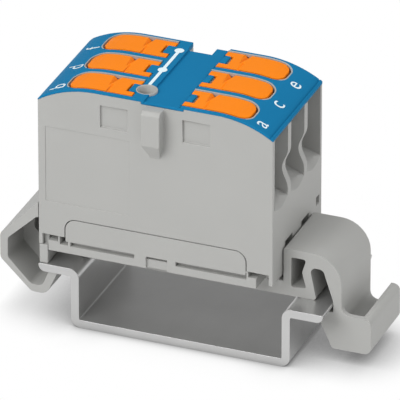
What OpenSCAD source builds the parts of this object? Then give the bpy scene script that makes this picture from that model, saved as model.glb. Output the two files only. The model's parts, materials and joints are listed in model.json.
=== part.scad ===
// Power distribution block: three poles, six spring clamps, on a rail adapter clipped to a length of hat rail.
// Frame: origin at the centre of the rail's bottom face, +X across the rail, +Y along it, +Z up.
// All sizes are in millimetres. "u" is the distance from the block's middle towards either end.

/* [Rail] */
// Width of the hat rail over its flanges
rail_w = 35; // [34:0.5:37]
// Height of the hat rail
rail_h = 7.5; // [7:0.5:12]
// Sheet thickness of the rail
rail_t = 1; // [0.8:0.1:1.2]
// Width of the rail over its two webs
rail_web_w = 27; // [25:0.5:28]
// Outer radius of the rail's bends
rail_bend_r = 1.2; // [1.1:0.1:1.8]
// Radius under the edges of the rail's flanges
rail_edge_r = 0.8; // [0.1:0.1:0.9]
// Length of rail that shows on each side of the block
rail_over = 0.2; // [0:0.1:20]

/* [Rail adapter] */
// Thickness of the deck that lies on the rail's flanges
deck_t = 1.8; // [1.4:0.1:2.4]
// Width of the deck and of the latch foot, along the rail
foot_w = 9.5; // [7:0.5:14]
// Height of the latch foot above the flanges
foot_h = 6; // [5.6:0.1:6.6]
// Radius of the latch foot's arch
foot_arch_r = 3.6; // [3:0.1:4]
// Thickness of the latch leg where it passes the flange
leg_t = 1; // [0.8:0.1:1.3]
// Reach of the release tab beyond the latch leg
tab_reach = 3.65; // [3:0.1:5]
// Depth of the latch hook below the flanges
latch_depth = 5.8; // [5.2:0.1:7]
// Thickness of the hooked foot's band
band_t = 0.95; // [0.8:0.05:1.1]
// Reach of the hooked foot outside the rail
loop_reach = 4.85; // [4.4:0.1:5.6]
// Depth of the hooked foot below the flanges
loop_drop = 4; // [3.6:0.1:4.6]
// Thickness of the ribs inside the hooked foot
loop_rib_t = 1; // [0.8:0.1:1.6]
// Thickness of the post that carries the block's other end
post_t = 1.12; // [0.9:0.02:1.2]
// Height of the post above the flanges
post_h = 7.9; // [7.6:0.1:8.2]
// Reach of the snap noses on the upright
nose_reach = 0.4; // [0.2:0.05:0.5]

/* [Base plate] */
// Height of the base plate's skirt below the housing
skirt_h = 2; // [1.8:0.1:2.6]
// Thickness of the floor that plugs the housing
floor_t = 1; // [0.8:0.1:1.4]
// Height of the side tabs above the skirt
side_tab_h = 2.4; // [2:0.1:3]
// Length of the side tabs
side_tab_len = 22.2; // [18:0.2:22.6]
// Corner radius of the side tabs
side_tab_r = 1.3; // [0.5:0.1:1.8]
// Depth of the long pockets in the skirt
skirt_pocket_d = 0.7; // [0.4:0.1:1.2]
// Height of the stops that hold the springs' base legs
stop_h = 0.4; // [0.2:0.1:0.6]

/* [Housing] */
// Length of the block, across the rail
block_len = 28.8; // [28:0.2:30]
// Distance from one pole to the next
pole_pitch = 5.2; // [5:0.1:6]
// Height of the housing's walls above the skirt
wall_h = 19.3; // [18.8:0.1:21]
// Thickness of the outer walls
wall_t = 0.5; // [0.4:0.05:0.7]
// Radius of the curved ends of the roof
roof_r = 12.7; // [12:0.1:16]
// Length of the curved stretch at each end of the roof
roof_run = 7; // [6:0.1:7.4]
// Half-width of the tenon on the front wall
tenon_half_w = 1.13; // [0.9:0.01:1.2]
// Reach of the tenon in front of the wall
tenon_reach = 1.5; // [1:0.1:1.6]
// Height of the tenon
tenon_h = 6.5; // [5.5:0.1:7]
// Depth of the grip pockets in the front wall
grip_d = 0.3; // [0.1:0.05:0.35]
// Distance of the grip pockets from the block's middle
grip_u = 5.05; // [4:0.05:6]
// Width of the grip pockets
grip_w = 3.3; // [2:0.1:4]
// Height of the grip pockets
grip_h = 2.8; // [2:0.1:3.2]
// Depth of the label field in the front wall
label_d = 0.08; // [0.02:0.01:0.15]
// Depth of the corners that reach down beside the skirt
apron_h = 1.35; // [0.6:0.05:1.6]
// Depth of the snap windows in the end wall
window_d = 0.8; // [0.6:0.1:1.2]

/* [Conductor entries] */
// Radius of a conductor entry
wire_r = 1.75; // [1.4:0.05:1.9]
// Height of the conductor entries above the deck
wire_h = 13.2; // [12.6:0.1:13.4]
// Radius of the entry funnels at the end face
funnel_r = 3.57; // [3:0.01:3.8]
// Thickness of the end walls that the conductors pass
entry_len = 3.1; // [2.8:0.1:3.4]
// Depth of the grooves above the entries
groove_d = 1.1; // [0.6:0.1:1.4]
// Radius of the test socket
test_r = 1.15; // [0.9:0.05:1.15]
// Distance from the test socket's middle to the levers' legs
test_to_leg = 1; // [0.95:0.05:1.2]

/* [Cover] */
// Thickness of the cover
cover_t = 0.3; // [0.25:0.05:0.4]
// Width of the lowered middle band
band_w = 4.4; // [3.6:0.1:4.6]
// Distance from the block's middle to the middle of the band
band_u = 0.9; // [0.7:0.1:1]
// Radius of the two pegs under the cover
peg_r = 0.6; // [0.4:0.1:0.8]
// Length of the two pegs under the cover
peg_len = 2.4; // [1.5:0.1:3]
// Distance from the middle of the two pegs to the levers' legs
peg_to_leg = 1.7; // [1.6:0.1:2.1]
// Chamfer along the cover's ends
lip_chamfer = 0.2; // [0.05:0.05:0.3]

/* [Levers] */
// Length of a lever
lever_len = 8; // [7.8:0.05:8.1]
// Width of a lever
lever_w = 3.8; // [3.6:0.05:3.85]
// Thickness of a lever's plate
lever_t = 1.5; // [1.2:0.05:1.7]
// Height that a lever stands above the cover
lever_proud = 0.15; // [0:0.05:0.3]
// Radius of a lever's outer corners
lever_corner_r = 1.3; // [0.6:0.1:1.7]
// Width of each of a lever's two legs
leg_w = 0.88; // [0.7:0.02:0.95]
// Length of the gap between the legs
leg_gap_len = 1.15; // [1:0.05:1.3]
// Radius of the trunnions
trunnion_r = 0.45; // [0.3:0.05:0.5]
// Thickness of the two fingers that press the spring
finger_t = 0.6; // [0.4:0.05:0.7]
// Radius of the rounded legs
leg_r = 0.6; // [0.55:0.01:0.65]
// Length of the two fingers' tips
finger_tip = 1.1; // [0.8:0.1:1.2]
// Distance of the screwdriver notch from the block's middle
notch_u = 6.25; // [6:0.05:6.6]
// Length of the screwdriver notch
notch_len = 1.3; // [0.8:0.1:1.6]
// Depth of the screwdriver notch
notch_d = 0.6; // [0.3:0.1:0.8]

/* [Clamps] */
// Thickness of the current bar
bar_t = 1; // [0.8:0.1:1.2]
// Thickness of the spring strip
spring_t = 0.4; // [0.3:0.05:0.45]
// Width of the spring strip
spring_w = 3.6; // [3:0.1:3.8]
// Radius of the spring's bend at the middle of the strip
spring_bend_r = 1; // [0.7:0.05:1.1]
// Slope of the clamping leg above the floor
spring_slope = 63.5; // [61:0.5:65]

/* [Fits] */
// Gap between moulded pieces that slide into each other
slip_gap = 0.1; // [0.05:0.01:0.12]
// Gap between metal and plastic that only meet
seat_gap = 0.05; // [0.02:0.01:0.1]
// Gap all round a lever in the housing
lever_gap = 0.2; // [0.12:0.01:0.25]
// Gap between the block's end and the adapter's upright
upright_gap = 0.15; // [0.1:0.01:0.2]
// Gap beside the tenon in the groove of the next block
tenon_gap = 0.3; // [0.1:0.05:0.35]
// Ledge of the housing that shows inside a cover window
window_ledge = 0.14; // [0:0.01:0.2]

/* [Hidden] */
$fn = 64;
POLES = 3;
over = 1;                                            // length that a cut runs past a face
join = 0.02;                                         // overlap that fuses two stretches of one piece
band_lap = 0.4;                                      // lap of the cover's band under its wings on both sides
seat_d = 0.3;                                        // depth of a trunnion's seat

GREY = "#b4b4b1";
BLUE = "#1f78a8";
ORANGE = "#ff8c1a";
STEEL = "#c8cacc";
COPPER = "#c77b4a";

// Places along the rail
block_w = POLES * pole_pitch;
rail_len = block_w + 2 * rail_over;
side_y = block_w / 2;                                // outer faces of the block
room_y = side_y - wall_t;                            // inner faces of its side walls
room_w = pole_pitch - 2 * wall_t;                    // width of one pole's room
function pole_y(n) = (n - (POLES - 1) / 2) * pole_pitch;

// Places across the rail
rail_edge = rail_w / 2;
block_x = block_len / 2 - rail_edge;                 // middle of the block, flush with the rail's left edge
half_len = block_len / 2;
upright_x = block_x + half_len + upright_gap;        // the adapter's upright, beside the block
latch_x = rail_edge + seat_gap;                      // inner face of the latch leg, beside the rail's other edge
latch_run = latch_x - upright_x;
upright_t = 0.155 * latch_run;
room_out = half_len - entry_len;                     // outer end of a pole's room
lever_out = room_out - lever_gap - slip_gap;
lever_in = lever_out - lever_len;
axis_u = lever_in + leg_r + seat_gap;                // a lever's axis
test_u = lever_in - test_to_leg;
peg_u = lever_in - peg_to_leg;
gap_half = lever_w / 2 - leg_w;                      // half the gap between a lever's legs
tongue_half = gap_half - 0.12;                       // the tongue that stands in that gap
tongue_out = lever_in + leg_gap_len - lever_gap;

// Heights
z_flange = rail_h;
z_deck = z_flange + deck_t;
z_body = z_deck + skirt_h;
z_floor = z_body + floor_t;
z_roof = z_body + wall_h;
z_top = z_roof + cover_t;
z_wire = z_deck + wire_h;
z_bar = z_wire + wire_r + seat_gap;
z_bar_top = z_bar + bar_t;
z_shelf = z_bar_top + 2.2;                           // floor of a lever's room over the current bar
axis_z = z_top + lever_proud - lever_t;              // a lever's axis, level with its underside
z_clear = z_top + 3 * over;                          // a height above every piece
tenon_top = z_roof - 0.4;
tenon_low = tenon_top - tenon_h;
groove_keep = tenon_half_w + tenon_gap + wall_t;     // half-width of the pillar that the groove is cut in

// The clamping leg: a straight line that leans inwards from the bend
bend_u = room_out - 0.45 - spring_bend_r - spring_t / 2;
bend_z = z_floor + spring_t / 2 + spring_bend_r;
leg_foot_u = bend_u + spring_bend_r * sin(spring_slope);
leg_foot_z = bend_z + spring_bend_r * cos(spring_slope);
leg_len = (z_bar - seat_gap - leg_foot_z - spring_t / 2 * cos(spring_slope)) / sin(spring_slope);
function leg_u(z) = leg_foot_u - (z - leg_foot_z) / tan(spring_slope);
tip_u = leg_u(z_bar);
spring_in = tip_u - 1.2;                             // inner end of a spring's base leg
bar_u = tip_u + 0.4;                                 // the bar ends just past the springs' tips
partition_u = bar_u + slip_gap;

// The fingers reach down beside the conductor to the clamping leg
finger_z = z_wire - wire_r + 0.5;
finger_u = leg_u(finger_z) + spring_t / 2 / sin(spring_slope) + 0.14;

// The skirt starts beside the post and ends inside the corner that reaches down over its other end
skirt_in = post_t + seat_gap - half_len;
skirt_out = half_len - wall_t - slip_gap;
// Pockets in the skirt's sides: from u, to u, height of the sill above the deck, depth
SKIRT_POCKETS = [[skirt_in - over, -12, 1.3, 1.2], [-11.8, -10.8, 1, 1.6], [-10.5, -2.6, 0.95, skirt_pocket_d],
                 [-1.15, 1.45, -over, 0.3], [-1.15, 1.45, 1.1, skirt_pocket_d], [2.5, 11.2, 0.95, skirt_pocket_d],
                 [11.4, 12.6, 1.3, 1.6], [12.4, half_len, -over, 3]];
// Snap windows in the end wall: middle along the rail, half-width, height of the lower and the upper edge
SNAP_WINDOWS = [[-pole_pitch / 2, 1.2, 4.8, foot_h + 0.35], [pole_pitch / 2, 1.2, 4.8, foot_h + 0.35],
                [side_y - 1.2, 0.5, 6, 7.1]];
LABEL_FIELD = [[-13.5, 15.7], [-3.1, 25.3]];         // lowest and highest corner, as u and z

// ---- helpers ----

function unit(v) = v / norm(v);

// Points of the arc of radius r that rounds corner p between its neighbours a and b
function corner(a, p, b, r) =
    let (ta = unit(a - p), tb = unit(b - p), half = acos(ta * tb) / 2,
         c = p + unit(ta + tb) * r / sin(half),
         from = p + ta * r / tan(half) - c, to = p + tb * r / tan(half) - c,
         turn = 180 - 2 * half, side = sign(from.x * to.y - from.y * to.x), n = ceil(turn / 12))
    [for (i = [0:n]) let (s = side * turn * i / n)
        c + [from.x * cos(s) - from.y * sin(s), from.x * sin(s) + from.y * cos(s)]];

// An outline given as [x, z, radius] corners, with each corner rounded by its radius
function rounded(pts) = [
    for (i = [0:len(pts) - 1])
        let (n = len(pts), p = pts[i], a = pts[(i + n - 1) % n], b = pts[(i + 1) % n])
        each p[2] > 0 ? corner([a[0], a[1]], [p[0], p[1]], [b[0], b[1]], p[2]) : [[p[0], p[1]]]];

// Extrudes an XZ outline along the rail, from y0 to y1
module along(y0, y1) translate([0, y1, 0]) rotate([90, 0, 0]) linear_extrude(y1 - y0) children();

// A box from its lowest to its highest corner
module span(low, high) translate(low) cube(high - low);

// Puts what is drawn on u and z at the block, on the right side (1) or the left side (-1)
module at_side(side) translate([block_x, 0, 0]) mirror([side < 0 ? 1 : 0, 0, 0]) children();

// Repeats for each pole on both sides
module each_clamp() for (side = [1, -1], n = [0:POLES - 1]) at_side(side) translate([0, pole_y(n), 0]) children();

// Outline of the block seen along the rail: walls up to a roof that curves down at both ends
module roof_outline(bottom, top, r) {
    flat = half_len - roof_run;
    translate([-half_len, bottom]) square([block_len, top - r - bottom]);
    translate([-flat, bottom]) square([2 * flat, top - bottom]);
    for (side = [1, -1]) intersection() {
        translate([side * flat, top - r]) circle(r, $fn = 180);
        translate([side > 0 ? 0 : -half_len, top - r]) square([half_len, r]);
    }
}

// A lever's outline seen from above, grown by a margin, and less at the legs' ends
module lever_outline(grow) {
    r = lever_corner_r + grow;
    half_w = lever_w / 2 + grow;
    low = lever_in - min(grow, slip_gap);
    high = lever_out + grow;
    translate([low, -half_w]) square([high - r - low, 2 * half_w]);
    translate([low, r - half_w]) square([high - low, 2 * (half_w - r)]);
    for (side = [1, -1]) translate([high - r, side * (half_w - r)]) circle(r);
}

// ---- rail ----

module din_rail() color(STEEL) along(-rail_len / 2, rail_len / 2) {
    web = rail_web_w / 2;
    in_r = max(rail_bend_r - rail_t, 0.1);
    right = [[rail_edge, z_flange, 0.1], [rail_edge, z_flange - rail_t, rail_edge_r],
             [web, z_flange - rail_t, in_r], [web, 0, rail_bend_r]];
    inner = [[web - rail_t, rail_t, in_r], [web - rail_t, z_flange, rail_bend_r]];
    polygon(rounded(concat(right, mirrored(right), mirrored(inner), inner)));
}
// The same corners on the other side of the middle, in the order that carries the outline on
function mirrored(pts) = [for (i = [len(pts) - 1:-1:0]) [-pts[i][0], pts[i][1], pts[i][2]]];

// ---- rail adapter ----

// A place between the upright's outer face (0) and the latch leg (1)
function run(part) = upright_x + part * latch_run;

// The latch foot: an arch that ends in a hook under the flange and a release tab
module latch_foot() {
    out = latch_x + leg_t;
    tip = -rail_t - seat_gap - 0.05;                 // top of the hook, just under the flange
    low = -latch_depth;
    outline = [[upright_x, 0, 0], [upright_x, foot_h, 0.2], [out, foot_h, foot_arch_r], [out, -1.3, 1.1],
               [out + tab_reach, -1.3, 0.8], [out + tab_reach, low, 0.9], [latch_x - 0.1, low, 0.3],
               [latch_x - 1.5, -2.8, 0.8], [latch_x - 1.8, tip, 0.15], [latch_x, tip, 0.1],
               [latch_x, 0.2, 0.24 * latch_run], [run(0.79), 4.1, 0.105 * latch_run],
               [run(0.526), 4.1, 0.098 * latch_run], [run(0.665), 0, 0.35]];
    pocket = [[upright_x + upright_t, 5, 0.03 * latch_run], [run(0.46), 5, 0.05 * latch_run],
              [run(0.37), 3.3, 0.19 * latch_run], [run(0.46), 1.3, 0.04 * latch_run],
              [upright_x + upright_t, 1.2, 0.04 * latch_run]];
    translate([0, 0, z_flange]) along(-foot_w / 2, foot_w / 2) difference() {
        polygon(rounded(outline));
        polygon(rounded(pocket));
    }
}

// The hooked foot: a loop that springs round the rail's left edge, with a post that carries the block's end
module hooked_foot() {
    out = -loop_reach;
    in = out + band_t;
    low = -loop_drop;
    tip = -rail_t - seat_gap;
    loop = [[-seat_gap, post_h - 0.1, 0], [out, 2.85, 0.9], [out, -0.3, 0.9], [-1, low, 1], [0.9, low, 1.2],
            [2.25, tip, 0.1], [1.15, tip, 0.1], [0.35, low + band_t, 0.9], [-1, low + band_t, 0.8],
            [in, -0.1, 0.7], [in, 2.4, 0.7], [-0.3, post_h - 2.1, 0.3], [-seat_gap, post_h - 2.1, 0]];
    rib = [[in - 0.3, 2.6, 0], [-2.5, 4.2, 0], [-2.5, 1.7, 0.7], [-0.9, 0.3, 0.5], [-0.6, low + band_t - 0.3, 0],
           [-1.2, low + band_t - 0.3, 0], [in - 0.3, -0.2, 0]];
    translate([-rail_edge, 0, z_flange]) {
        along(-side_y, side_y) polygon(rounded(loop));
        for (y = [-pole_pitch / 2, pole_pitch / 2])
            along(y - loop_rib_t / 2, y + loop_rib_t / 2) polygon(rounded(rib));
        span([seat_gap, -side_y, 0], [post_t, side_y, deck_t + skirt_h - apron_h - seat_gap]);
        span([seat_gap, slip_gap - room_y, 0], [post_t, room_y - slip_gap, post_h]);
        span([-0.3, slip_gap - room_y, post_h - 2], [post_t, room_y - slip_gap, post_h - 0.35]);
    }
}

module rail_adapter() color(GREY) {
    latch_foot();
    hooked_foot();
    span([-rail_edge + post_t - seat_gap, -foot_w / 2, z_flange],
         [upright_x + upright_t, foot_w / 2, z_deck]);
    // snap noses in the end wall's windows
    for (w = SNAP_WINDOWS) if (w[3] < foot_h + over)
        translate([upright_x, w[0], z_flange + w[2] + slip_gap])
            along(slip_gap - w[1], w[1] - slip_gap)
                polygon([[0.1, 0], [-nose_reach, 0], [-nose_reach, 0.2], [0, 0.9], [0.1, 0.9]]);
}

// ---- base plate ----

// Side tab outline, grown by a margin
module side_tab_outline(grow) {
    half = side_tab_len / 2 + grow;
    top = z_body + side_tab_h + grow;
    polygon(rounded([[-half, z_body - 0.5, 0], [-half, top, side_tab_r + grow],
                     [half, top, side_tab_r + grow], [half, z_body - 0.5, 0]]));
}

module base_plate() color(GREY) translate([block_x, 0, 0]) {
    difference() {
        span([skirt_in, -side_y, z_deck], [skirt_out, side_y, z_body]);
        for (side = [1, -1], p = SKIRT_POCKETS) mirror([0, side < 0 ? 1 : 0, 0])
            span([p[0], side_y - p[3], z_deck + p[2]],
                 [p[1], side_y + over, p[3] > skirt_pocket_d ? z_body + over : z_body - 0.15]);
    }
    span([slip_gap - room_out - 0.6, slip_gap - room_y, z_body - seat_gap],
         [room_out + 0.6 - slip_gap, room_y - slip_gap, z_floor]);
    for (side = [1, -1]) mirror([0, side < 0 ? 1 : 0, 0])
        along(room_y - slip_gap, side_y) side_tab_outline(0);
    for (n = [0.5:1:POLES - 1.5]) translate([0, pole_y(n), 0])
        span([seat_gap - bar_u, seat_gap - wall_t, z_floor - seat_gap], [bar_u - seat_gap, wall_t - seat_gap, z_bar]);
    for (side = [1, -1], n = [0:POLES - 1]) mirror([side < 0 ? 1 : 0, 0, 0]) translate([0, pole_y(n), 0])
        span([spring_in - 0.5, -spring_w / 2, z_floor - seat_gap],
             [spring_in - seat_gap, spring_w / 2, z_floor + stop_h]);
}

// ---- housing ----

// Tapered tenon on the front wall, in its own middle plane
module tenon() {
    shoulder = tenon_low + tenon_reach * 1.45;
    intersection() {
        along(-tenon_reach - over, over)
            polygon([[-tenon_half_w, tenon_top], [-tenon_half_w, shoulder], [-tenon_half_w * 0.55, tenon_low],
                     [tenon_half_w * 0.55, tenon_low], [tenon_half_w, shoulder], [tenon_half_w, tenon_top]]);
        rotate([90, 0, 90]) translate([0, 0, -tenon_half_w - over]) linear_extrude(2 * tenon_half_w + 2 * over)
            polygon([[over, tenon_low], [0, tenon_low], [-tenon_reach, shoulder], [-tenon_reach, tenon_top - 0.4],
                     [0.4 - tenon_reach, tenon_top], [over, tenon_top]]);
    }
}

// Groove in the back wall for the tenon of the next block
module tenon_groove() {
    half = tenon_half_w + tenon_gap;
    span([-half, side_y - tenon_reach - slip_gap, tenon_low - slip_gap], [half, side_y + over, z_clear]);
}

// Room for one pole's spring, conductor end and lever
module pole_room() {
    span([partition_u - over / 2, -room_w / 2, z_body - over], [room_out, room_w / 2, z_shelf + over / 2]);
    difference() {
        translate([0, 0, z_shelf]) linear_extrude(z_top) lever_outline(lever_gap);
        span([0, -tongue_half, z_shelf - over], [tongue_out, tongue_half, z_clear]);
    }
    translate([axis_u, 0, axis_z]) rotate([90, 0, 0])
        cylinder(r = trunnion_r + seat_gap, h = room_w + 2 * seat_d, center = true);
}

// Entry from the end face: funnel, bore and the groove above
module entry() {
    tunnel = entry_len + over;
    translate([half_len + over, 0, z_wire]) rotate([0, -90, 0]) cylinder(r = wire_r, h = tunnel + over);
    intersection() {
        translate([half_len + over, 0, z_wire]) rotate([0, -90, 0])
            cylinder(r1 = funnel_r + over, r2 = wire_r - 0.01, h = funnel_r - wire_r + over + 0.01);
        children();
    }
    groove_r = (pow(room_w / 2, 2) + pow(groove_d, 2)) / (2 * groove_d);
    translate([half_len + groove_r - groove_d, 0, z_wire]) cylinder(r = groove_r, h = z_top);
}

// Shallow grip pocket in the front wall
module grip(side) translate([side * grip_u - grip_w / 2, -side_y, z_roof - 1.4 - grip_h])
    along(-over, grip_d) square([grip_w, grip_h]);

// Room for the current bar, which goes round the pillar of the groove
module bar_room() difference() {
    span([-partition_u, -room_y, z_body - over], [partition_u, room_y, z_bar_top]);
    span([-groove_keep, room_y - tenon_reach, z_body - 2 * over], [groove_keep, side_y, z_top]);
}

module housing() color(GREY) difference() {
    translate([block_x, 0, 0]) {
        along(-side_y, side_y) roof_outline(z_body, z_roof, roof_r);
        translate([0, -side_y, 0]) tenon();
        // corners that reach down beside the skirt
        span([half_len - wall_t, -side_y, z_body - apron_h], [half_len, side_y, z_body + over]);
        for (side = [1, -1]) mirror([0, side < 0 ? 1 : 0, 0])
            span([-half_len, room_y, z_body - apron_h], [wall_t - half_len, side_y, z_body + over]);
    }
    each_clamp() pole_room();
    for (side = [1, -1], n = [0:POLES - 1]) at_side(side) translate([0, pole_y(n), 0]) entry()
        span([0, seat_gap - room_y - pole_y(n), 0], [block_len, room_y - seat_gap - pole_y(n), z_top]);
    translate([block_x, 0, 0]) {
        bar_room();
        span([-room_out - 0.6, -room_y, z_body - over], [room_out + 0.6, room_y, z_floor]);
        for (side = [1, -1]) mirror([0, side < 0 ? 1 : 0, 0])
            along(room_y - over / 10, side_y + over) side_tab_outline(slip_gap);
        tenon_groove();
        for (side = [1, -1]) grip(side);
        // lowered wall tops under the middle band
        span([band_u - band_w / 2 - band_lap, -side_y - over - tenon_reach, z_roof - cover_t],
             [band_u + band_w / 2 + band_lap, side_y + over, z_clear]);
        // test socket, in the middle of the first pole
        translate([-test_u, pole_y(0), z_bar_top - over / 2]) cylinder(r = test_r, h = z_top);
        // peg holes
        for (n = [0, POLES - 1]) translate([peg_u, pole_y(n), z_roof - peg_len - slip_gap])
            cylinder(r = peg_r + slip_gap, h = z_top);
        // recess for the adapter's post
        span([-half_len - over, seat_gap - room_y, z_body - 2 * over],
             [post_t + slip_gap - half_len, room_y - seat_gap, z_flange + post_h + slip_gap]);
        for (w = SNAP_WINDOWS)
            span([half_len - window_d, w[0] - w[1], z_flange + w[2]], [half_len + over, w[0] + w[1], z_flange + w[3]]);
        along(-side_y - over, label_d - side_y) polygon([LABEL_FIELD[0], [LABEL_FIELD[1].x, LABEL_FIELD[0].y],
                                                         LABEL_FIELD[1], [LABEL_FIELD[0].x, LABEL_FIELD[1].y]]);
    }
}

// ---- cover ----

module cover() color(BLUE) difference() {
    translate([block_x, 0, 0]) union() {
        difference() {
            along(-side_y, side_y) difference() {
                roof_outline(z_roof - 3.5, z_top, roof_r + cover_t);
                roof_outline(z_body, z_roof, roof_r);
                for (side = [1, -1]) polygon([[side * (half_len - over), z_edge + over],
                                              [side * (half_len + over), z_edge - over],
                                              [side * (half_len + over), z_edge + over]]);
                translate([-half_len - over, z_body]) square([block_len + 2 * over, arc_end_z(roof_r) - z_body]);
            }
            span([band_u - band_w / 2, -side_y - over, z_roof], [band_u + band_w / 2, side_y + over, z_clear]);
        }
        span([band_u - band_w / 2 - band_lap, -side_y, z_roof - cover_t],
             [band_u + band_w / 2 + band_lap, side_y, z_roof + join]);
        for (n = [0, POLES - 1]) translate([peg_u, pole_y(n), z_roof - peg_len])
            cylinder(r = peg_r, h = peg_len - seat_gap);
    }
    each_clamp() difference() {
        translate([0, 0, z_roof - roof_r / 2]) linear_extrude(roof_r) lever_outline(lever_gap + window_ledge);
        span([0, -tongue_half, 0], [tongue_out, tongue_half, z_clear]);
    }
    translate([block_x - test_u, pole_y(0), z_roof - over]) cylinder(r = test_r, h = 2 * over);
    translate([block_x, 0, 0]) tenon_groove();
}
z_edge = arc_end_z(roof_r + cover_t) - lip_chamfer;
function arc_end_z(r) = z_roof - roof_r + sqrt(pow(r, 2) - pow(roof_run, 2));

// ---- current bar ----

module current_bar() color(COPPER) translate([block_x, 0, 0]) difference() {
    span([-bar_u, slip_gap - room_y, z_bar], [bar_u, room_y - slip_gap, z_bar_top]);
    span([-groove_keep - slip_gap, room_y - tenon_reach - slip_gap, z_bar - over],
         [groove_keep + slip_gap, side_y, z_bar_top + over]);
    // slots between the poles' contact tongues
    for (side = [1, -1], n = [0.5:1:POLES - 1.5]) mirror([side < 0 ? 1 : 0, 0, 0]) translate([bar_u - 1.6, pole_y(n), 0])
        span([0, -wall_t / 2, z_bar - over], [1.6 + over, wall_t / 2, z_bar_top + over]);
}

// ---- springs ----

// Spring strip seen along the rail: base leg, bend and clamping leg
module spring_outline() {
    half = spring_t / 2;
    translate([spring_in, z_floor]) square([bend_u + join - spring_in, spring_t]);
    translate([leg_foot_u, leg_foot_z]) rotate(180 - spring_slope)
        translate([-join, -half]) square([leg_len + join, spring_t]);
    translate([bend_u, bend_z]) difference() {
        circle(spring_bend_r + half);
        circle(spring_bend_r - half);
        polygon([[0, 0], [0, -9], [-9, -9], [-9, 9], [9 * cos(90 - spring_slope), 9 * sin(90 - spring_slope)]]);
    }
}

module spring(side, n) color(STEEL) at_side(side) translate([0, pole_y(n), 0])
    along(-spring_w / 2, spring_w / 2) spring_outline();

// ---- levers ----

// Side view of a lever: the plate follows the roof, rounded legs sit on the axis
module lever_side() {
    inner = roof_r + cover_t + lever_proud - lever_t;
    intersection() {
        difference() {
            roof_outline(z_body, z_top + lever_proud, roof_r + cover_t + lever_proud);
            roof_outline(z_body - over, z_top + lever_proud - lever_t, inner);
        }
        translate([axis_u, z_shelf]) square([half_len, z_top]);
    }
    translate([axis_u, axis_z]) circle(leg_r);
    translate([axis_u - leg_r, axis_z]) square([leg_r + 0.1, lever_t]);
    translate([axis_u, axis_z - leg_r]) square([leg_gap_len, 2 * leg_r]);
}

// Side view of a finger, from the plate down to the clamping leg
module finger_side() polygon(rounded([[finger_u, finger_z, 0.35], [finger_u + finger_tip, finger_z, 0.4],
    [finger_u + finger_tip + 0.7, axis_z - 0.6, 0], [finger_u + finger_tip + 0.7, axis_z + 0.5, 0],
    [finger_u - 0.1, axis_z + 0.5, 0]]));

module lever(side, n) color(ORANGE) at_side(side) translate([0, pole_y(n), 0]) {
    difference() {
        intersection() {
            along(-lever_w, lever_w) lever_side();
            linear_extrude(z_clear) lever_outline(0);
        }
        span([0, -gap_half, 0], [lever_in + leg_gap_len, gap_half, z_clear]);
        translate([notch_u, 0, z_top + lever_proud]) along(-lever_w, lever_w)
            polygon([[0.1, 0.1], [0, -notch_d], [-0.3, -notch_d], [-notch_len, 0], [-notch_len, 0.1]]);
    }
    for (y = [-lever_w / 2 + 0.05, lever_w / 2 - 0.05 - finger_t]) along(y, y + finger_t) finger_side();
    for (y = [-1, 1]) translate([axis_u, y * lever_w / 2, axis_z]) rotate([90 * y, 0, 0])
        translate([0, 0, -room_w / 2 + lever_w / 2 - seat_d + seat_gap])
            cylinder(r = trunnion_r, h = room_w / 2 - lever_w / 2 + seat_d + leg_w / 2);
}

din_rail();
rail_adapter();
base_plate();
housing();
cover();
current_bar();
lever(1, 0);  // lever_a
lever(-1, 0);  // lever_b
lever(1, 1);  // lever_c
lever(-1, 1);  // lever_d
lever(1, 2);  // lever_e
lever(-1, 2);  // lever_f
spring(1, 0);  // spring_a
spring(-1, 0);  // spring_b
spring(1, 1);  // spring_c
spring(-1, 1);  // spring_d
spring(1, 2);  // spring_e
spring(-1, 2);  // spring_f
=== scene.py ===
"""Looks of a rail-mounted power distribution block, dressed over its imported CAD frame."""
import json
import math

import bmesh
import bpy
from mathutils import Matrix, Vector
from mathutils.geometry import intersect_line_line_2d
from mathutils.kdtree import KDTree


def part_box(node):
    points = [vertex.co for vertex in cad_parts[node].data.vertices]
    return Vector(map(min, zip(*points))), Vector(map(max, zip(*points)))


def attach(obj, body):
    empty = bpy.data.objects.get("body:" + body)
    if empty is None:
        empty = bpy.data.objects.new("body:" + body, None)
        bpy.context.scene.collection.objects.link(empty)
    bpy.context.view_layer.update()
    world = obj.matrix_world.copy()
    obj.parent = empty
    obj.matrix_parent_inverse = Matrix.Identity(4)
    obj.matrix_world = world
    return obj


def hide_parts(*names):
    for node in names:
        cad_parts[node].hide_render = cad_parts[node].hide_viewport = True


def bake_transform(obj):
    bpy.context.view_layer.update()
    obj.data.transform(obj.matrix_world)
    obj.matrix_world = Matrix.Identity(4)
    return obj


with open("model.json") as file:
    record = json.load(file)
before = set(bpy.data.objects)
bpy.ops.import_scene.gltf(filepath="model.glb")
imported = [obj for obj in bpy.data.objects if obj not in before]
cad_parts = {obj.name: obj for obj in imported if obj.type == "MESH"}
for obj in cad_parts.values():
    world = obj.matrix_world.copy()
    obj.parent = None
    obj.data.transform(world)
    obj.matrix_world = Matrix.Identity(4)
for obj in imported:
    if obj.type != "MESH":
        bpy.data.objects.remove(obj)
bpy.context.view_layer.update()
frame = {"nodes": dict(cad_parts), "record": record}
MM = 0.001
NODES = frame["nodes"]
BODY = {n: b for b, members in frame["record"]["behaviour"]["bodies"].items() for n in members}
SLOT = {s["node"]: s["material_slot"] for s in frame["record"]["subparts"]}
LEVERS = [n for n in NODES if n.startswith("lever")]

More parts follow.
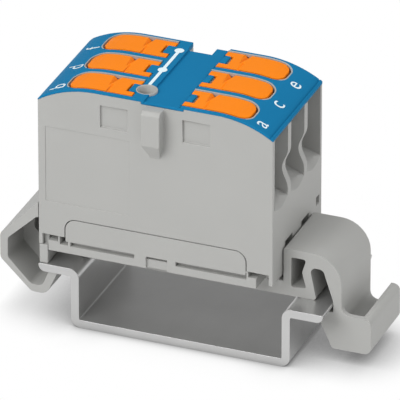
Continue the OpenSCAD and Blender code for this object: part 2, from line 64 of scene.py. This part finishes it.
# Places, from the CAD nodes' own boxes
HOUSING_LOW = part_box("housing")[0]
COVER_LOW, COVER_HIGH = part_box("cover")
MID_X = (COVER_LOW.x + COVER_HIGH.x) / 2
HALF_LEN = (COVER_HIGH.x - COVER_LOW.x) / 2
FRONT_Y, BACK_Y = COVER_LOW.y, COVER_HIGH.y
TOP_Z = COVER_HIGH.z
PITCH = (BACK_Y - FRONT_Y) / 3        # from pole to pole
POLE_Y = [FRONT_Y + PITCH * (n + 0.5) for n in range(3)]
WIRE_Z = HOUSING_LOW.z + 12.95 * MM   # middle of the conductor entries
ROOF_RUN, ROOF_R = 7 * MM, 13 * MM    # length and radius of the curve at each end of the cover


def roof_z(x):
    """Height of the cover's top over x."""
    past = max(0, abs(x - MID_X) - (HALF_LEN - ROOF_RUN))
    return TOP_Z - ROOF_R + math.sqrt(ROOF_R ** 2 - past ** 2)


# ---- materials ----

def nodes_of(name):
    """A new material, its node tree and its shader."""
    mat = bpy.data.materials.new(name)
    mat.use_nodes = True
    tree = mat.node_tree
    return mat, tree, tree.nodes["Principled BSDF"]


def add(tree, kind, **inputs):
    """A new node, with its inputs set by name."""
    node = tree.nodes.new(kind)
    for key, value in inputs.items():
        node.inputs[key.replace("_", " ")].default_value = value
    return node


def noise(tree, scale, detail=2.0, rough=0.5):
    """A noise texture in the piece's own coordinates."""
    place = tree.nodes.new("ShaderNodeTexCoord")
    tex = add(tree, "ShaderNodeTexNoise", Scale=scale, Detail=detail, Roughness=rough)
    tree.links.new(place.outputs["Object"], tex.inputs["Vector"])
    return tex


def drawn_lines(tree, along):
    """A noise texture stretched into fine lines, by one scale for each axis."""
    place = tree.nodes.new("ShaderNodeTexCoord")
    stretch = add(tree, "ShaderNodeMapping", Scale=along)
    lines = add(tree, "ShaderNodeTexNoise", Scale=1.0, Detail=3.0, Roughness=0.6)
    tree.links.new(place.outputs["Object"], stretch.inputs["Vector"])
    tree.links.new(stretch.outputs["Vector"], lines.inputs["Vector"])
    return lines


def drifting_tone(tree, out, slow, color, spread):
    """Base colour that drifts with a slow noise, by spread to either side."""
    tone = add(tree, "ShaderNodeMix")
    tone.data_type = "RGBA"
    tone.inputs[6].default_value = (*[c * (1 - spread) for c in color], 1)
    tone.inputs[7].default_value = (*[min(1, c * (1 + spread)) for c in color], 1)
    tree.links.new(slow.outputs["Fac"], tone.inputs[0])
    tree.links.new(tone.outputs[2], out.inputs["Base Color"])


def fine_surface(tree, out, fine, rough, swing, strength, depth):
    """Roughness that swings with a fine noise, and a bump from the same noise."""
    gloss = add(tree, "ShaderNodeMapRange", To_Min=rough - swing, To_Max=rough + swing)
    tree.links.new(fine.outputs["Fac"], gloss.inputs["Value"])
    tree.links.new(gloss.outputs["Result"], out.inputs["Roughness"])
    bump = add(tree, "ShaderNodeBump", Strength=strength, Distance=depth)
    tree.links.new(fine.outputs["Fac"], bump.inputs["Height"])
    tree.links.new(bump.outputs["Normal"], out.inputs["Normal"])


def plastic(name, color, rough, grain=9000.0, spread=0.03, specular=0.45):
    """Moulded plastic: fine spark-eroded grain, and a slow drift in tone."""
    mat, tree, out = nodes_of(name)
    slow, fine = noise(tree, 160.0, detail=3.0), noise(tree, grain, rough=0.6)
    drifting_tone(tree, out, slow, color, spread)
    fine_surface(tree, out, fine, rough, swing=0.06, strength=0.35, depth=0.0012 * MM)
    out.inputs["Specular IOR Level"].default_value = specular
    return mat


def metal(name, color, rough, along, metallic=1.0):
    """Rolled or drawn metal: fine lines along one axis, and a slow drift in tone."""
    mat, tree, out = nodes_of(name)
    drifting_tone(tree, out, noise(tree, 220.0), color, spread=0.06)
    fine_surface(tree, out, drawn_lines(tree, along), rough, swing=0.08, strength=0.25, depth=0.0008 * MM)
    out.inputs["Metallic"].default_value = metallic
    return mat


GREY = plastic("grey_moulding", (0.418, 0.418, 0.404), 0.52, specular=0.30)
BLUE = plastic("blue_cover", (0.011, 0.186, 0.385), 0.45, spread=0.04, specular=0.02)
ORANGE = plastic("orange_lever", (0.98, 0.250, 0.006), 0.42, specular=0.14)
PRINT = plastic("white_print", (0.80, 0.93, 0.98), 0.50, grain=4000.0, spread=0.02)
ZINC = metal("zinc_rail", (0.56, 0.56, 0.555), 0.33, (6000, 90, 6000), metallic=0.8)
COPPER = metal("copper_bar", (0.80, 0.43, 0.27), 0.30, (90, 6000, 6000))
SPRING = metal("spring_strip", (0.62, 0.61, 0.59), 0.28, (4000, 90, 4000))
LOOKS = {"zinc_steel": ZINC, "grey_plastic": GREY, "blue_plastic": BLUE, "orange_plastic": ORANGE,
         "copper": COPPER, "spring_steel": SPRING}


# ---- meshes ----

def faces_out(mesh):
    """Turns a closed mesh's faces outwards."""
    bm = bmesh.new()
    bm.from_mesh(mesh)
    bmesh.ops.recalc_face_normals(bm, faces=bm.faces)
    bm.to_mesh(mesh)
    bm.free()


def smooth(mesh, sharp=None):
    """Shades a mesh's faces smooth, but for edges that turn more than the angle sharp."""
    mesh.polygons.foreach_set("use_smooth", [True] * len(mesh.polygons))
    if sharp:
        mesh.set_sharp_from_angle(angle=sharp)


def link(name, verts, faces, mat):
    """A new object in the scene, with one material."""
    mesh = bpy.data.meshes.new(name)
    mesh.from_pydata(verts, [], faces)
    mesh.materials.append(mat)
    ob = bpy.data.objects.new(name, mesh)
    bpy.context.scene.collection.objects.link(ob)
    return ob


def housing_piece(ob):
    """Says that a closed piece is a moulded part of the housing."""
    faces_out(ob.data)
    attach(ob, BODY["housing"])


def prism(outline, y0, y1):
    """A closed mesh: an outline in the x-z plane, run from y0 to y1."""
    n = len(outline)
    verts = [(x, y, z) for y in (y0, y1) for x, z in outline]
    faces = [list(range(n)), list(range(2 * n - 1, n - 1, -1))]
    faces += [[i, i + n, (i + 1) % n + n, (i + 1) % n] for i in range(n)]
    return verts, faces


def block(low, high):
    """A closed box mesh between two corners."""
    x0, y0, z0 = low
    x1, y1, z1 = high
    return prism([(x0, z0), (x1, z0), (x1, z1), (x0, z1)], y0, y1)


def reworked(mesh, steps):
    """The mesh after closed tools have been joined to it (UNION) or cut from it (DIFFERENCE)."""
    blank = bpy.data.objects.new("blank", mesh)
    bpy.context.scene.collection.objects.link(blank)
    tools = []
    for how, (verts, faces) in steps:
        tool = link("tool", verts, faces, GREY)
        faces_out(tool.data)
        step = blank.modifiers.new(how, "BOOLEAN")
        step.operation = how
        step.object = tool
        step.solver = "EXACT"
        tools.append(tool)
    bpy.context.view_layer.update()
    result = bpy.data.meshes.new_from_object(blank.evaluated_get(bpy.context.evaluated_depsgraph_get()))
    for ob in [blank, *tools]:
        bpy.data.objects.remove(ob)
    return result


# ---- forms that the skins add to the CAD nodes: lists of steps for reworked() ----

PAST = MM   # how far a cutting tool stands past the surface that it enters


def tab_slot():
    """A screwdriver slot in the latch foot's release tab: open at the back, with a web at the front."""
    tab_reach, lip_thick, foot_half, web = 3.65 * MM, 1.15 * MM, 4.75 * MM, 0.7 * MM
    r, chamfer = 1.0 * MM, 0.3 * MM       # at the floor's two edges
    bend = (0.4, 0.8, 1.2, math.pi / 2)   # steps of the turn round the first
    low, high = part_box("rail_adapter")
    wall, lip = high.x - tab_reach, high.x - lip_thick
    top, floor = low.z + 6.5 * MM, low.z + 2.0 * MM
    outline = [(wall, top), (wall, floor + r)]
    outline += [(wall + r - r * math.cos(t), floor + r - r * math.sin(t)) for t in bend]
    outline += [(lip - chamfer, floor), (lip, floor + chamfer), (lip, top)]
    return [("DIFFERENCE", prism(outline, web - foot_half, foot_half + PAST))]


def end_chambers():
    """A deep chamber for each conductor entry in both end faces, with curved partitions between them."""
    floor = ((2.3, 2.5), (0.3, 3.2), (-0.1, 3.5), (-1.0, 3.5))   # mm in from the face and down from the wires
    half, thick_half = 2.1 * MM, 0.5 * MM             # of a chamber, and of a partition
    foot, top, depth = 3.1 * MM, 2.7 * MM, 2.6 * MM   # of a partition: under and over the wires, and inwards
    dip, rise, parts = 0.72 * MM, 2.45 * MM, 6        # of its edge, which swings in beside the wires
    steps = []
    for side in (1, -1):
        face = MID_X + side * HALF_LEN
        root = face - side * depth
        partition = [(face, WIRE_Z - foot), (root, WIRE_Z - foot), (root, WIRE_Z + top)]
        for t in range(parts, -parts - 1, -1):
            swing = dip / 2 * (1 + math.cos(math.pi * t / parts))
            partition.append((face - side * swing, WIRE_Z + rise * t / parts))
        for y in POLE_Y[:2]:
            middle = y + PITCH / 2
            steps.append(("UNION", prism(partition, middle - thick_half, middle + thick_half)))
        chamber = [(face - side * into * MM, WIRE_Z - under * MM) for into, under in floor]
        chamber = [(chamber[-1][0], TOP_Z + PAST), (chamber[0][0], TOP_Z + PAST), *chamber]
        for y in POLE_Y:
            steps.append(("DIFFERENCE", prism(chamber, y - half, y + half)))
    return steps


def lever_notch(node):
    """A narrow screwdriver notch, open to the back, in place of the CAD lever's plain one."""
    plug_deep, line_deep, scoop_deep = 0.8 * MM, 0.34 * MM, 1.1 * MM
    low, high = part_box(node)
    pole, side, top = (low.y + high.y) / 2, 1 if low.x > MID_X else -1, high.z
    half = max(v.co.y - pole for v in NODES[node].data.vertices if v.co.z > top - 0.01 * MM)
    start, end = sorted(MID_X + side * u * MM for u in (4.9, 6.4))
    plug = block((start, pole - half, top - plug_deep), (end, pole + half, top))
    x = MID_X + (5.75 if side > 0 else -6.1) * MM   # of the line across the lever, with the scoop behind it
    line = prism([(x - 0.2 * MM, top + 0.1 * MM), (x, top - line_deep), (x + 0.14 * MM, top + 0.1 * MM)],
                 pole - half - 0.1 * MM, pole)
    back, above = pole + half + 0.3 * MM, top + 0.2 * MM
    corners = [(x - 0.8 * MM, back, above), (x + 0.5 * MM, back, above),
               (x + 0.1 * MM, back, top - scoop_deep), (x - 0.5 * MM, pole - 1.0 * MM, above)]
    scoop = (corners, [[0, 1, 2], [0, 3, 1], [1, 3, 2], [2, 3, 0]])
    return [("UNION", plug), ("DIFFERENCE", line), ("DIFFERENCE", scoop)]


def cover_lip():
    """A groove along the right end of the cover, and a raised bead at the edge beyond it."""
    deep, back_stop = 0.2 * MM, 0.35 * MM   # the groove's depth, and where it stops short of the cover's back
    x = [MID_X + HALF_LEN - u * MM for u in (0.62, 0.33, 0.26, 0.2, 0.0)]   # across the groove and the bead
    z = [roof_z(p) for p in x]
    bead = [(x[2], z[2] - deep), (x[2], z[2] + 0.01 * MM), (x[3], z[3] + 0.05 * MM), (x[4], z[4] + 0.02 * MM),
            (x[4], z[4] - deep)]
    groove = [(x[0], z[0] + 0.01 * MM), (x[1], z[1] - deep), (x[2], z[2] - deep), (x[2], z[2] + PAST),
              (x[0], z[0] + PAST)]
    return [("UNION", prism(bead, FRONT_Y, BACK_Y)),
            ("DIFFERENCE", prism(groove, FRONT_Y - PAST, BACK_Y - back_stop))]


def tongue_gaps():
    """A clear gap between each lever's crotch and the cover's tongue that stands in it."""
    tongue_out, past_crotch, half = 3.86 * MM, 4.3 * MM, 1.2 * MM
    steps = []
    for side in (1, -1):
        x = sorted((MID_X + side * tongue_out, MID_X + side * past_crotch))
        for y in POLE_Y:
            gap = block((x[0], y - half, TOP_Z - PAST), (x[1], y + half, TOP_Z + PAST))
            steps.append(("DIFFERENCE", gap))
    return steps


def forms_of(node):
    """The steps that a node's skin takes, if any."""
    if node in LEVERS:
        return lever_notch(node)
    if node == "rail_adapter":
        return tab_slot()
    if node == "cover":
        return cover_lip() + tongue_gaps()
    if node == "housing":
        return end_chambers()
    return []


# ---- skins: the CAD nodes with their edges rounded ----

ROUNDING = {"din_rail": 0.32 * MM, "rail_adapter": 0.13 * MM, "base_plate": 0.07 * MM, "housing": 0.11 * MM,
            "cover": 0.11 * MM, "current_bar": 0.05 * MM, **{node: 0.10 * MM for node in LEVERS}}
PLAIN_ROUNDING = 0.04 * MM     # of every other node
LEVER_SINK = 0.19 * MM         # from the CAD lever's top down to flush with the cover
BEND_LOW, BEND_HIGH = 14.4 * MM, 19 * MM   # a spring's leg bends between these, as its lever is pressed
SPRING_CUTS = [BEND_LOW + (BEND_HIGH - BEND_LOW) * n / 6 for n in range(7)]
SAME = 0.001 * MM              # points closer than this are one point
FLAT = math.radians(0.3)       # faces that turn less than this are one face
ROUNDED = math.radians(33)     # edges that turn more than this are rounded
SHADED_SHARP = math.radians(31)
ANY = 1.0                      # room without a limit, as a width
ALONG = (0.05, 0.28, 0.5, 0.72, 0.95)   # places along an edge where its room is measured
GAP_SHARE = 0.42               # of the gap to another edge, the most that a rounding takes
END_SHARE = 0.8                # the same at a corner, along an edge that isn't rounded itself
ALIKE = 0.64                   # cosine from which two edges of a face count as running the same way
ACROSS = 0.6                   # sine from which an edge at a corner counts as leading away
ONWARD = -0.7                  # cosine under which one sharp edge goes on from another
TORN = 0.004 * MM ** 2         # a face that fills this much more than its outline holds is torn
NEAR_TEAR = 2.2                # a tear eases the runs within this many roundings of it
ROUNDS = 8                     # of easing the rounding where faces are torn
EASE = 0.6                     # share of its rounding that such a run keeps in each


def gap_to(p, a, b):
    """Distance from point p to the segment from a to b."""
    ab = b - a
    t = min(1, max(0, (p - a).dot(ab) / max(ab.length_squared, 1e-18)))
    return (a + ab * t - p).length


def edge_room(e, sharp):
    """The widest rounding that edge e has room for, in its own two faces and at its two ends."""
    a, b = e.verts[0].co, e.verts[1].co
    way = (b - a).normalized()
    spots = [a.lerp(b, t) for t in ALONG]
    room = ANY
    for face in e.link_faces:
        if len(face.verts) > 3:
            loops = {l.edge: l for l in face.loops}
            own = (loops[e].link_loop_next.vert.co - loops[e].vert.co).normalized()
            for other, loop in loops.items():
                if other is e or loop.vert in e.verts or loop.link_loop_next.vert in e.verts:
                    continue
                p, q = loop.vert.co, loop.link_loop_next.vert.co
                if (q - p).normalized().dot(own) < ALIKE:
                    room = min(room, GAP_SHARE * min(gap_to(s, p, q) for s in spots))
    for v in e.verts:
        for other in v.link_edges:
            if other is not e:
                away = other.other_vert(v).co - v.co
                turn = away.normalized().cross(way).length
                if turn > ACROSS:
                    room = min(room, (GAP_SHARE if other in sharp else END_SHARE) * away.length * turn)
    return room


def runs_of(sharp):
    """Sharp edges that follow one another with little turn, together: one run takes one rounding.
    Each run is (pairs of vertex numbers, the widest rounding that it has room for)."""
    lead = {e: e for e in sharp}

    def head(e):
        while lead[e] is not e:
            lead[e] = lead[lead[e]]
            e = lead[e]
        return e

    for e in sharp:
        for v in e.verts:
            way = (e.other_vert(v).co - v.co).normalized()
            for other in v.link_edges:
                if other is not e and other in sharp:
                    if way.dot((other.other_vert(v).co - v.co).normalized()) < ONWARD:
                        lead[head(e)] = head(other)
    runs, rooms = {}, {}
    for e in sharp:
        h = head(e)
        runs.setdefault(h, []).append(frozenset(v.index for v in e.verts))
        rooms[h] = min(rooms.get(h, ANY), edge_room(e, sharp))
    return [(edges, rooms[h]) for h, edges in runs.items()]


def crossings(ring, normal):
    """The points of a face's outline beside each place where it crosses itself."""
    flat = normal.to_track_quat("Z", "Y").inverted()
    level = [(flat @ p).xy for p in ring]
    n = len(ring)
    found = []
    for i in range(n):
        for j in range(i + 2, n):
            if i == 0 and j == n - 1:
                continue
            if intersect_line_line_2d(level[i], level[i + 1], level[j], level[(j + 1) % n]):
                found += [ring[i], ring[i + 1], ring[j], ring[(j + 1) % n]]
    return found


def torn_spots(mesh):
    """Points at which the outline of a rounded face crosses itself."""
    mesh.calc_loop_triangles()
    filled = [0.0] * len(mesh.polygons)
    for t in mesh.loop_triangles:
        filled[t.polygon_index] += t.area
    spots = []
    for face in mesh.polygons:
        ring = [mesh.vertices[i].co for i in face.vertices]
        if len(ring) < 4:
            continue
        whole = Vector()
        for p, q in zip(ring, ring[1:] + ring[:1]):
            whole += (p - ring[0]).cross(q - ring[0])
        if filled[face.index] - whole.length / 2 >= TORN:
            spots += (crossings(ring, face.normal) if len(ring) > 4 else []) or ring
    return spots


def plain_form(node):
    """A node's bmesh with the skin's own forms, its flat faces whole."""
    bm = bmesh.new()
    bm.from_mesh(NODES[node].data)
    bmesh.ops.remove_doubles(bm, verts=bm.verts, dist=SAME)
    steps = forms_of(node)
    if steps:
        whole = bpy.data.meshes.new("whole")
        bm.to_mesh(whole)
        bm.clear()
        bm.from_mesh(reworked(whole, steps))
        bmesh.ops.remove_doubles(bm, verts=bm.verts, dist=SAME)
    if node in LEVERS:
        for v in bm.verts:
            if v.co.z > roof_z(v.co.x) + 0.05 * MM:
                v.co.z -= LEVER_SINK
    bmesh.ops.dissolve_limit(bm, angle_limit=FLAT, verts=bm.verts, edges=bm.edges)
    if node.startswith("spring"):
        for z in SPRING_CUTS:
            everything = [*bm.verts, *bm.edges, *bm.faces]
            bmesh.ops.bisect_plane(bm, geom=everything, plane_co=(0, 0, z), plane_no=(0, 0, 1))
    bm.verts.index_update()
    return bm


def round_edges(ob, width, runs):
    """Rounds an object's runs of edges, and eases those whose rounding tears a face until none does."""
    mesh = ob.data
    mesh.attributes.new("bevel_weight_edge", "FLOAT", "EDGE")
    index = {frozenset(e.vertices): e.index for e in mesh.edges}
    near = KDTree(len(mesh.vertices))
    for v in mesh.vertices:
        near.insert(v.co, v.index)
    near.balance()
    share = [min(1, room / width) for _, room in runs]
    runs_at = {}
    for k, (edges, _) in enumerate(runs):
        for pair in edges:
            for i in pair:
                runs_at.setdefault(i, set()).add(k)
    bevel = ob.modifiers.new("rounded_edges", "BEVEL")
    bevel.width = width
    bevel.segments = 3
    bevel.limit_method = "WEIGHT"
    bevel.use_clamp_overlap = False
    bevel.miter_outer = "MITER_SHARP"
    bevel.loop_slide = False
    for _ in range(ROUNDS):
        weights = mesh.attributes["bevel_weight_edge"].data
        for k, (edges, _) in enumerate(runs):
            for pair in edges:
                weights[index[pair]].value = share[k]
        mesh.update()
        graph = bpy.context.evaluated_depsgraph_get()
        graph.update()
        shown = ob.evaluated_get(graph)
        spots = torn_spots(shown.to_mesh())
        shown.to_mesh_clear()
        close = {i for p in spots for _, i, _ in near.find_range(p, NEAR_TEAR * width)}
        tight = {k for i in close for k in runs_at.get(i, ())}
        if not tight:
            break
        for k in tight:
            share[k] *= EASE


def dress(node):
    """A copy of a CAD node with its curves smooth and its edges rounded, standing for the node."""
    bm = plain_form(node)
    width = ROUNDING.get(node, PLAIN_ROUNDING)
    sharp = {e for e in bm.edges if len(e.link_faces) == 2 and e.calc_face_angle(0) > ROUNDED}
    runs = runs_of(sharp)
    verts = [v.co.copy() for v in bm.verts]
    faces = [[v.index for v in f.verts] for f in bm.faces]
    bm.free()
    ob = link(node + "_skin", verts, faces, LOOKS[SLOT[node]])
    smooth(ob.data, SHADED_SHARP)
    round_edges(ob, width, runs)
    even = ob.modifiers.new("even_shading", "WEIGHTED_NORMAL")
    even.keep_sharp = False
    even.weight = 60
    if node.startswith("spring"):
        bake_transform(ob)
    else:
        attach(ob, BODY[node])
    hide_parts(node)


for node in NODES:
    dress(node)


# ---- collars: the housing's rim that shows between each lever and the cover ----

def collar(node):
    """A ribbon round the back side and the outer tip of one lever's window."""
    half, r = 1.9 * MM, 1.3 * MM   # of the lever's plate: half its width, and its corners
    gap, reach = 0.11 * MM, 0.34 * MM      # from the plate to the ribbon's two sides
    more = 0.19 * MM                       # wider gap at the tip, and half of it more reach
    sunk, proud = 0.32 * MM, 0.01 * MM     # the ribbon's foot and top, from the cover's top
    low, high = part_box(node)
    pole, side = (low.y + high.y) / 2, 1 if low.x > MID_X else -1
    inner, straight_end = MID_X + side * 3.05 * MM, MID_X + side * 7.4 * MM
    corner_x = (high.x if side > 0 else low.x) - side * r
    spots = [(x, pole + half, 0, 1) for x in (inner, straight_end)]   # x, y and the way outwards
    spots += [(straight_end + (corner_x - straight_end) * k / 5, pole + half, 0, 1) for k in range(1, 5)]
    for first, last, corner_y in ((0, 90, pole + half - r), (90, 140, pole - half + r)):
        for turn in range(first, last + 1, 10):
            nx, ny = side * math.sin(math.radians(turn)), math.cos(math.radians(turn))
            spots.append((corner_x + r * nx, corner_y + r * ny, nx, ny))
    verts, faces = [], []
    for x, y, nx, ny in spots:
        extra = more * (1 - max(0, ny))
        near, far = gap + extra, reach + extra / 2
        for out, rise in ((near, -sunk), (near, proud), (far, proud), (far, -sunk)):
            verts.append((x + nx * out, y + ny * out, roof_z(x + nx * out) + rise))
    for i in range(0, len(verts) - 4, 4):
        faces += [[i + j, i + (j + 1) % 4, i + 4 + (j + 1) % 4, i + 4 + j] for j in range(4)]
    faces += [[0, 1, 2, 3], [len(verts) - 4 + j for j in (3, 2, 1, 0)]]
    housing_piece(link("collar_" + node[-1], verts, faces, GREY))


for node in LEVERS:
    collar(node)


# ---- the housing's tube that lines the test socket ----

def circle(x, y, r, z, points):
    """Points round a level circle."""
    turns = [2 * math.pi * i / points for i in range(points)]
    return [(x + r * math.cos(t), y + r * math.sin(t), z) for t in turns]


def socket_tube():
    """A round tube with a bevelled rim, just proud of the cover and too deep for its end to show."""
    x, y, points = MID_X - 2.0 * MM, POLE_Y[0], 48
    bore, outer, rim = 1.08 * MM, 1.27 * MM, 0.05 * MM   # the radii, and the bevel of the rim
    deep, sunk, proud = 4.5 * MM, 0.29 * MM, 0.02 * MM   # of its inner and outer foot, and of its top
    profile = [(bore, -deep), (bore, proud - rim), (bore + rim, proud),
               (outer - rim, proud), (outer, proud - rim), (outer, -sunk)]
    verts, faces = [], []
    for r, z in profile:
        verts += circle(x, y, r, TOP_Z + z, points)
    for k in range(len(profile)):
        a, b = k * points, (k + 1) % len(profile) * points
        faces += [[a + i, a + (i + 1) % points, b + (i + 1) % points, b + i] for i in range(points)]
    ob = link("socket_tube", verts, faces, GREY)
    housing_piece(ob)
    smooth(ob.data, math.radians(50))


socket_tube()


# ---- printed marks on the cover ----

LIFT = 0.03 * MM          # of the letters and dots over the cover
LINE_LIFT = 0.8 * LIFT    # of the line, under its two dots
LETTER_SIZE = 2.6 * MM
LETTER_X = (MID_X + 12.6 * MM, MID_X - 12.4 * MM)   # of each pole's two letters
LETTER_DOWN = 1.25 * MM   # from a pole's middle to its letters, towards the front
DOT_POINTS = 28


def letter(mark, x, y):
    """A printed letter with its foot towards the right end, on the cover's curved top."""
    curve = bpy.data.curves.new("mark_" + mark, "FONT")
    curve.body = mark
    curve.size = LETTER_SIZE
    curve.align_x = "CENTER"
    curve.resolution_u = 6
    flat = bpy.data.objects.new("flat_" + mark, curve)
    bpy.context.scene.collection.objects.link(flat)
    bpy.context.view_layer.update()
    mesh = bpy.data.meshes.new_from_object(flat.evaluated_get(bpy.context.evaluated_depsgraph_get()))
    bpy.data.objects.remove(flat)
    ob = bpy.data.objects.new("mark_" + mark, mesh)
    bpy.context.scene.collection.objects.link(ob)
    heights = [v.co.y for v in mesh.vertices]
    to_middle = Matrix.Translation((0, -(min(heights) + max(heights)) / 2, 0))
    mesh.transform(Matrix.Translation((x, y, 0)) @ Matrix.Rotation(math.radians(90), 4, "Z") @ to_middle)
    mesh.materials.clear()
    mesh.materials.append(PRINT)
    bm = bmesh.new()
    bm.from_mesh(mesh)
    bmesh.ops.triangulate(bm, faces=bm.faces)
    bm.to_mesh(mesh)
    bm.free()
    for v in mesh.vertices:
        v.co.z = roof_z(v.co.x) + LIFT
    smooth(mesh)
    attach(ob, "block")


def circuit_line():
    """The printed line from a dot on the back pole, through one on the middle pole, to the test socket."""
    x, half, dot_r = MID_X - 2.16 * MM, 0.2 * MM, 0.56 * MM
    y0, y1, z = POLE_Y[0] + 1.2 * MM, POLE_Y[2], TOP_Z + LINE_LIFT
    parts = [circle(x, y, dot_r, TOP_Z + LIFT, DOT_POINTS) for y in POLE_Y[1:]]
    parts.append([(x - half, y0, z), (x + half, y0, z), (x + half, y1, z), (x - half, y1, z)])
    verts, faces = [], []
    for part in parts:
        faces.append(list(range(len(verts), len(verts) + len(part))))
        verts += part
    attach(link("circuit_line", verts, faces, PRINT), "block")


for marks, pole_y in zip(("ab", "cd", "ef"), POLE_Y):
    for mark, x in zip(marks, LETTER_X):
        letter(mark, x, pole_y - LETTER_DOWN)
circuit_line()


# ---- stage ----

def stage_material():
    """White floor: plain white to the camera and in reflections, with a painted shadow that makes it darker
    only close under the object.
    """
    mat, tree, out = nodes_of("floor_white")
    out.inputs["Base Color"].default_value = (0.86, 0.86, 0.86, 1)
    out.inputs["Roughness"].default_value = 0.9
    out.inputs["Specular IOR Level"].default_value = 0.0
    # painted shadow: ambient occlusion close under the object dims the floor's glow, standing in for the
    # shadow that the object casts
    near = add(tree, "ShaderNodeAmbientOcclusion", Distance=6 * MM)
    near.samples = 16
    painted_shadow = add(tree, "ShaderNodeMapRange", From_Min=0.25, From_Max=0.97, To_Min=0.16)
    glow = tree.nodes.new("ShaderNodeEmission")
    mix = tree.nodes.new("ShaderNodeMixShader")
    path = tree.nodes.new("ShaderNodeLightPath")
    seen = tree.nodes.new("ShaderNodeMath")
    seen.operation = "MAXIMUM"
    tree.links.new(near.outputs["AO"], painted_shadow.inputs["Value"])
    tree.links.new(painted_shadow.outputs["Result"], glow.inputs["Strength"])
    tree.links.new(path.outputs["Is Camera Ray"], seen.inputs[0])
    tree.links.new(path.outputs["Is Glossy Ray"], seen.inputs[1])
    tree.links.new(seen.outputs[0], mix.inputs[0])
    tree.links.new(out.outputs[0], mix.inputs[1])
    tree.links.new(glow.outputs[0], mix.inputs[2])
    tree.links.new(mix.outputs[0], tree.nodes["Material Output"].inputs["Surface"])
    return mat


FLOOR_REACH, FLOOR_Z = 3.0, -0.02 * MM   # just under the object's lowest faces
corners = [(x * FLOOR_REACH, y * FLOOR_REACH, FLOOR_Z) for x, y in ((-1, -1), (1, -1), (1, 1), (-1, 1))]
link("floor", corners, [[0, 1, 2, 3]], stage_material())

WORLD_LIGHT = 0.34   # the world's strength as light; the camera sees it at 1, as white
world = bpy.data.worlds.new("studio")
bpy.context.scene.world = world
world.use_nodes = True
wt = world.node_tree
back = wt.nodes["Background"]
back.inputs["Color"].default_value = (1, 1, 1, 1)
path = wt.nodes.new("ShaderNodeLightPath")
level = add(wt, "ShaderNodeMapRange", To_Min=WORLD_LIGHT, To_Max=1.0)
wt.links.new(path.outputs["Is Camera Ray"], level.inputs["Value"])
wt.links.new(level.outputs["Result"], back.inputs["Strength"])

LAMP_AIM = Vector((0, 0, 16 * MM))   # the object's middle
LAMP_FAR = 0.5                       # from that middle to each lamp


def lamp(name, azimuth, elevation, size, power):
    """A soft square lamp, aimed at the object."""
    a, e = math.radians(azimuth), math.radians(elevation)
    data = bpy.data.lights.new(name, "AREA")
    data.shape = "SQUARE"
    data.size = size
    data.energy = power
    ob = bpy.data.objects.new(name, data)
    bpy.context.scene.collection.objects.link(ob)
    toward_lamp = Vector((math.sin(a) * math.cos(e), -math.cos(a) * math.cos(e), math.sin(e)))
    ob.location = LAMP_AIM + toward_lamp * LAMP_FAR
    ob.rotation_euler = (LAMP_AIM - ob.location).to_track_quat("-Z", "Y").to_euler()


lamp("key", -25, 38, 0.35, 1.75)
lamp("fill", 100, 30, 0.35, 0.75)
lamp("top", 0, 85, 0.4, 0.55)

# ---- camera ----

AZ, EL, FAR = math.radians(21.6), math.radians(27.9), 0.971
AIM_RIGHT, AIM_UP = -0.619 * MM, 13.38 * MM   # of the view's middle, from the CAD origin
toward = Vector((math.cos(EL) * math.sin(AZ), -math.cos(EL) * math.cos(AZ), math.sin(EL)))
right = Vector((math.cos(AZ), math.sin(AZ), 0))
up = toward.cross(right)
cam = bpy.data.cameras.new("camera")
cam.lens = 756
cam.sensor_width = 36
cam.clip_start = 0.01
cam.clip_end = 20
camera = bpy.data.objects.new("camera", cam)
bpy.context.scene.collection.objects.link(camera)
camera.location = right * AIM_RIGHT + up * AIM_UP + toward * FAR
camera.rotation_euler = (-toward).to_track_quat("-Z", "Y").to_euler()
bpy.context.scene.camera = camera
bpy.context.scene.view_settings.view_transform = "Standard"
